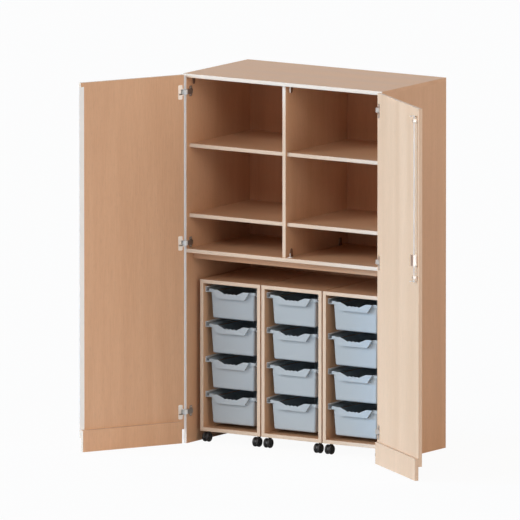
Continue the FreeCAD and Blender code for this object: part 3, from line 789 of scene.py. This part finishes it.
# %% Put the leaves, pins and screws on both doors
PIN_RADIUS = 1.5 * MM
PIN_HALF = 22 * MM
PIN_TIP = 0.4 * MM
PIN_TURNS = 16
SCREW_RADIUS = 3.6 * MM
SCREW_HEIGHT = 1.0 * MM
LEAF_SCREWS = (-29 * MM, 29 * MM)
LEAF_SCREW_HEIGHT = 0.5 * MM


def pin_shape(z):
    """A hinge pin turned from a profile with small rounded ends."""
    thin = PIN_RADIUS - PIN_TIP
    half = [(PIN_HALF - PIN_TIP, PIN_RADIUS), (PIN_HALF, thin), (PIN_HALF, 0)]
    profile = [(-along, radius) for along, radius in half[::-1]] + half
    return lathe(profile, np.array([0, 0, z]), (0, 0, 1), PIN_TURNS)


for door in DOORS:
    shapes = []
    lift, sheet = np.array([0, LEAF_THICK, 0]), np.array([0, SHEET, 0])
    screw_x = door.from_edge(0.5 * (BAR_NEAR + BAR_FAR))
    for z in door.hinges:
        shapes += [thickened(leaf_half(door, z, way), lift) for way in (1, -1)]
        shapes += [thickened(leaf_bar(door, z), lift), thickened(pan(door, z), sheet), pin_shape(z)]
        for up in LEAF_SCREWS:
            spot = np.array([screw_x, door.inner + LEAF_THICK, z + up])
            shapes.append(screw_head(spot, (0, 1, 0), SCREW_RADIUS, LEAF_SCREW_HEIGHT))
    points, faces = joined(*shapes)
    patch = (door.opened(points), faces)
    leaves = piece(f"{door.side}_hinge_leaves", f"{door.side}_door", patch, NICKEL)
    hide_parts(f"{door.side}_hinge_plates")
    print(leaves.name, "faces:", len(leaves.data.polygons))

# %% Cover caps on the left hinge arms
CAP_THICK = 0.1 * MM
CAP_BACK = 14 * MM
CAP_HALF = 11.8 * MM

ARM_POINTS = node_points("hinge_arms")
ARM_FRONT = ARM_POINTS[:, 1].min()


def arm_cap(door, z):
    """A plate bent once: its section runs from the pin along the arm's front, then back along its inner
    side, and is carried up the arm's height."""
    side = ARM_POINTS[ARM_POINTS[:, 0] * door.sign > 0][:, 0]
    inner = side[np.abs(side).argmin()]
    section = [(door.axis[0], ARM_FRONT), (inner, ARM_FRONT), (inner, ARM_FRONT + CAP_BACK)]
    points = np.array([(x, y, z + up) for up in (-CAP_HALF, CAP_HALF) for x, y in section])
    outward = CAP_THICK * np.array([-door.sign, -1, 0])
    return thickened((points, grid_quads(2, len(section))), outward)


caps = [arm_cap(LEFT_DOOR, z) for z in LEFT_DOOR.hinges]
piece("hinge_arm_caps", "cabinet", joined(*caps), PALE_PLASTIC)
print("cover caps:", len(caps))

# %% [markdown]
# ## Screws on the carcass
# The winged plates of the hinge arms are held by two screws each, and the back panel by a row of small ones
# all round, as on most cupboards of this build. One head is a dome with a cross recess; the rest is
# placing.

# %% Screws of the hinge arms and back panel
WING_SCREW_UP = 19 * MM
WING_BEHIND = 38 * MM
WING_THICK = 2 * MM
BACK_SCREWS_ACROSS = 6
BACK_SCREWS_UP = 8
BACK_INSET = 9 * MM


def wing_screws(door):
    """Two heads on the wing plate of each hinge, on the inner face of the side panel."""
    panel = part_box(f"{door.side}_side_panel")
    x = panel[1].x + WING_THICK if door.sign < 0 else panel[0].x - WING_THICK
    y = panel[0].y + WING_BEHIND
    return [screw_head(np.array([x, y, z + up]), (-door.sign, 0, 0), SCREW_RADIUS, SCREW_HEIGHT)
            for z in door.hinges for up in (-WING_SCREW_UP, WING_SCREW_UP)]


def rim_screws(low, high):
    """Heads along the four sides of the back panel, on its rear face."""
    x0, x1 = low.x + BACK_INSET, high.x - BACK_INSET
    z0, z1 = low.z + BACK_INSET, high.z - BACK_INSET
    across = [(x, z) for x in np.linspace(x0, x1, BACK_SCREWS_ACROSS) for z in (z0, z1)]
    up = [(x, z) for z in np.linspace(z0, z1, BACK_SCREWS_UP)[1:-1] for x in (x0, x1)]
    return [screw_head(np.array([x, high.y, z]), (0, 1, 0), SCREW_RADIUS, SCREW_HEIGHT)
            for x, z in across + up]


heads = wing_screws(LEFT_DOOR) + wing_screws(RIGHT_DOOR)
piece("hinge_wing_screws", "cabinet", joined(*heads), NICKEL)
back_heads = rim_screws(*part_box("back_panel"))
piece("back_panel_screws", "cabinet", joined(*back_heads), NICKEL)
print("screws:", len(heads) + len(back_heads))

# %% [markdown]
# ## Corner connectors
# Brown plastic connectors pull the boards together inside the upper bays. Each is a flat teardrop on the
# upright board: wide where it meets the level board, narrow and round at its other end, and crowned across.
# It is a grid of stations along its length, each a crown whose width follows the taper.

# %% Connectors in the upper bays
CONNECTOR_LONG = 42 * MM
CONNECTOR_WIDE = 28 * MM
CONNECTOR_TIP = 13 * MM
CONNECTOR_TALL = 6 * MM
CONNECTOR_BEHIND = 67 * MM
ROUND_FROM = 0.85
STRAIGHT_STATIONS = 8
ROUND_STATIONS = 7
CROWN_STEPS = 13


def connector(root, along, across, out):
    """Point(v, u) = root + v L * along + w(v) cos(u) * across + h(v) sin(u)^0.5 * out, with u over a half
    turn. The half width w falls evenly from wide to tip, and both w and h close as a quarter circle at the
    round end."""
    rest = 1 - ROUND_FROM
    bend = np.linspace(0, math.pi / 2, ROUND_STATIONS)[1:]
    straight = np.linspace(0, ROUND_FROM, STRAIGHT_STATIONS)
    v = np.concatenate([straight, ROUND_FROM + rest * np.sin(bend)])
    closing = np.sqrt(np.maximum(0.0, 1 - (np.clip(v - ROUND_FROM, 0, rest) / rest) ** 2))
    width = 0.5 * (CONNECTOR_WIDE + (CONNECTOR_TIP - CONNECTOR_WIDE) * v) * closing
    height = CONNECTOR_TALL * closing
    u = np.linspace(0, math.pi, CROWN_STEPS)
    along, across, out = (np.asarray(way, dtype=float) for way in (along, across, out))
    points = (root + (v * CONNECTOR_LONG)[:, None, None] * along
              + (width[:, None] * np.cos(u))[..., None] * across
              + (height[:, None] * np.sqrt(np.maximum(0.0, np.sin(u))))[..., None] * out)
    faces = grid_quads(len(v), CROWN_STEPS, wrap=True) + [list(range(CROWN_STEPS))]
    return points.reshape(-1, 3), faces


def bay_connectors():
    """On each upright face that meets the top, and on the divider where it meets the deck, front and rear."""
    top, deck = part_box("top_panel")[0].z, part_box("fixed_shelf")[1].z
    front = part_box("top_panel")[0].y + CONNECTOR_BEHIND
    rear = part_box("back_panel")[0].y - CONNECTOR_BEHIND
    left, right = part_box("left_side_panel")[1].x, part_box("right_side_panel")[0].x
    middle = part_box("centre_divider")
    faces = [(left, 1, top, -1), (middle[0].x, -1, top, -1), (middle[1].x, 1, top, -1),
             (right, -1, top, -1), (middle[0].x, -1, deck, 1), (middle[1].x, 1, deck, 1)]
    return [connector(np.array([x, y, z]), (0, 0, up), (0, 1, 0), (out, 0, 0))
            for x, out, z, up in faces for y in (front, rear)]


connectors = bay_connectors()
piece("corner_connectors", "cabinet", joined(*connectors), CONNECTOR_PLASTIC)
print("connectors:", len(connectors))

# %% [markdown]
# ## Castor wheels
# Twin-wheel castors have two broad black wheels with a rounded tread and a dished outer face round a small
# cap. The model's wheels are plain rounded discs, which a profile turned about the axle replaces.

# %% Turn the wheels
TREAD = 14 * MM
WHEEL_PROFILE = [(0, 0), (0, 0.78), (0.10, 0.925), (0.24, 0.985), (0.5, 1.0), (0.76, 0.985),
                 (0.90, 0.925), (0.98, 0.80), (0.97, 0.72), (0.88, 0.67), (0.86, 0.44), (0.90, 0.40),
                 (0.97, 0.37), (1.0, 0.28), (1.0, 0)]
WHEEL_TURNS = 40
CORNERS = ("front_left", "front_right", "rear_left", "rear_right")


def twin_wheels(low, high):
    """Two turned wheels back to back; the profile is in shares of the tread and of the wheel's radius."""
    radius = 0.5 * (high.z - low.z)
    y, z = 0.5 * (low.y + high.y), 0.5 * (low.z + high.z)
    profile = np.array(WHEEL_PROFILE) * (TREAD, radius)
    right = lathe(profile, np.array([high.x - TREAD, y, z]), (1, 0, 0), WHEEL_TURNS)
    left = lathe(profile, np.array([low.x + TREAD, y, z]), (-1, 0, 0), WHEEL_TURNS)
    return joined(left, right)


for number in TROLLEYS:
    for corner in CORNERS:
        node = f"wheels_{number}_{corner}"
        wheels = piece(f"twin_{node}", node, twin_wheels(*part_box(node)), TYRE_PLASTIC)
        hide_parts(node)
print("castors:", len(TROLLEYS) * len(CORNERS))

# %% [markdown]
# ## Camera
# The picture is a parallel view, which a lens of very great length far away comes close to. A real parallel
# camera would do too, but it couldn't be moved round the object by fitting its angle of view.

# %% Camera
PHOTO_SPAN = 2.636
AZIMUTH = math.radians(33.05)
ELEVATION = math.radians(8.7)
TARGET = Vector((-0.1355, -0.300, 0.9803))
LENS = 1500.0
SENSOR = 36.0
CAMERA_FAR = PHOTO_SPAN * LENS / SENSOR


def direction(azimuth, elevation):
    """The way from the object: azimuth 0 is the front and grows to the right, elevation is above level."""
    level = math.cos(elevation)
    return Vector((math.sin(azimuth) * level, -math.cos(azimuth) * level, math.sin(elevation)))


def stand(thing, name, towards):
    """A lamp or camera in the scene that looks back along a direction."""
    made = bpy.data.objects.new(name, thing)
    bpy.context.scene.collection.objects.link(made)
    made.rotation_euler = towards.to_track_quat("Z", "Y").to_euler()
    return made


lens = bpy.data.cameras.new("long_lens")
lens.lens = LENS
lens.sensor_width = SENSOR
lens.clip_end = 3 * CAMERA_FAR
to_camera = direction(AZIMUTH, ELEVATION)
camera = stand(lens, "camera", to_camera)
camera.location = TARGET + to_camera * CAMERA_FAR
bpy.context.scene.camera = camera
print("camera distance:", round(CAMERA_FAR, 1), "m")

# %% [markdown]
# ## Light
# A soft key from the front left and a higher lamp in front brighten all that faces the viewer. A cool lamp
# on the left shines past the left door on the inside of the right door, and a warm one behind it balances
# the outer faces there. Another warm lamp on the right reaches the right side and the inside of the left
# door, and a dim room fills the rest. The cool lamp is kept out of reflections, so that metal stays
# neutral. The room is white only to the camera and to mirror rays, so the background is white while the
# bays stay dark.

# %% Lamps
WHITE = (1.0, 1.0, 1.0)
LAMPS = {  # azimuth, elevation and spread in degrees, then colour and strength
    "key": (-39, 18, 34, (0.96, 0.98, 1.0), 1.7),
    "front": (18, 34, 20, WHITE, 0.6),
    "left": (-66, 8, 12, (0.245, 0.58, 1.0), 5.0),
    "rear": (-125, 5, 20, (1.0, 0.60, 0.32), 1.9),
    "side": (77, 10, 32, (1.0, 0.88, 0.78), 1.38),
}


def soft_sun(name, azimuth, elevation, spread, colour, strength):
    """A distant lamp as wide as the spread; its angles are in degrees."""
    sun = bpy.data.lights.new(name, "SUN")
    sun.color = colour
    sun.energy = strength
    sun.angle = math.radians(spread)
    return stand(sun, name, direction(math.radians(azimuth), math.radians(elevation)))


suns = {name: soft_sun(name, *values) for name, values in LAMPS.items()}
suns["left"].visible_glossy = False
print("lamps:", len(suns))

# %% Room
ROOM_COLOUR = (0.28, 0.28, 0.28, 1)
ROOM_OVERHEAD = 0.35

world = bpy.data.worlds.new("room")
bpy.context.scene.world = world
world.use_nodes = True
tree = world.node_tree
tree.nodes.clear()
path = add(tree, "ShaderNodeLightPath")
seen = add(tree, "ShaderNodeMath", operation="MAXIMUM")
shown = add(tree, "ShaderNodeMath", operation="MAXIMUM")
way = add(tree, "ShaderNodeTexCoord")
height = add(tree, "ShaderNodeSeparateXYZ")
dimmer = add(tree, "ShaderNodeMapRange", {"To Min": 1.0, "To Max": ROOM_OVERHEAD})
fill = add(tree, "ShaderNodeBackground", {"Color": ROOM_COLOUR})
white = add(tree, "ShaderNodeBackground", {"Color": (*WHITE, 1), "Strength": 1.0})
either = add(tree, "ShaderNodeMixShader")
room = add(tree, "ShaderNodeOutputWorld")
wire(tree, (way.outputs["Generated"], height.inputs[0]), (height.outputs["Z"], dimmer.inputs["Value"]),
     (dimmer.outputs[0], fill.inputs["Strength"]), (path.outputs["Is Camera Ray"], seen.inputs[0]),
     (path.outputs["Is Glossy Ray"], seen.inputs[1]), (seen.outputs[0], shown.inputs[0]),
     (path.outputs["Is Transmission Ray"], shown.inputs[1]), (shown.outputs[0], either.inputs[0]),
     (fill.outputs[0], either.inputs[1]), (white.outputs[0], either.inputs[2]),
     (either.outputs[0], room.inputs["Surface"]))
print("room overhead:", ROOM_OVERHEAD)

# %% [markdown]
# ## Floor
# A wide pale floor catches the shadow. To the camera it is mostly white by itself, so that it runs into the
# background without an edge, and a small share of its true shading keeps the contact shadow.

# %% Floor
FLOOR_HALF = 40.0
FLOOR_WHITE = 0.95
FLOOR_COLOUR = (0.80, 0.80, 0.80, 1)

floor_mesh = bpy.data.meshes.new("floor")
corners = FLOOR_HALF * np.array([[-1, -1, 0], [1, -1, 0], [1, 1, 0], [-1, 1, 0]], dtype=float)
floor_mesh.from_pydata(corners.tolist(), [], [[0, 1, 2, 3]])
floor = bpy.data.objects.new("floor", floor_mesh)
bpy.context.scene.collection.objects.link(floor)
floor_finish = bpy.data.materials.new("pale_floor")
floor_finish.use_nodes = True
tree = floor_finish.node_tree
tree.nodes.clear()
path = add(tree, "ShaderNodeLightPath")
share = add(tree, "ShaderNodeMath", {1: FLOOR_WHITE}, operation="MULTIPLY")
lit = add(tree, "ShaderNodeBsdfDiffuse", {"Color": FLOOR_COLOUR})
glow = add(tree, "ShaderNodeEmission", {"Color": (*WHITE, 1), "Strength": 1.0})
either = add(tree, "ShaderNodeMixShader")
surface = add(tree, "ShaderNodeOutputMaterial")
wire(tree, (path.outputs["Is Camera Ray"], share.inputs[0]), (share.outputs[0], either.inputs[0]),
     (lit.outputs[0], either.inputs[1]), (glow.outputs[0], either.inputs[2]),
     (either.outputs[0], surface.inputs["Surface"]))
floor_mesh.materials.append(floor_finish)
bpy.context.scene.view_settings.view_transform = "Standard"
print("floor:", 2 * FLOOR_HALF, "m wide")
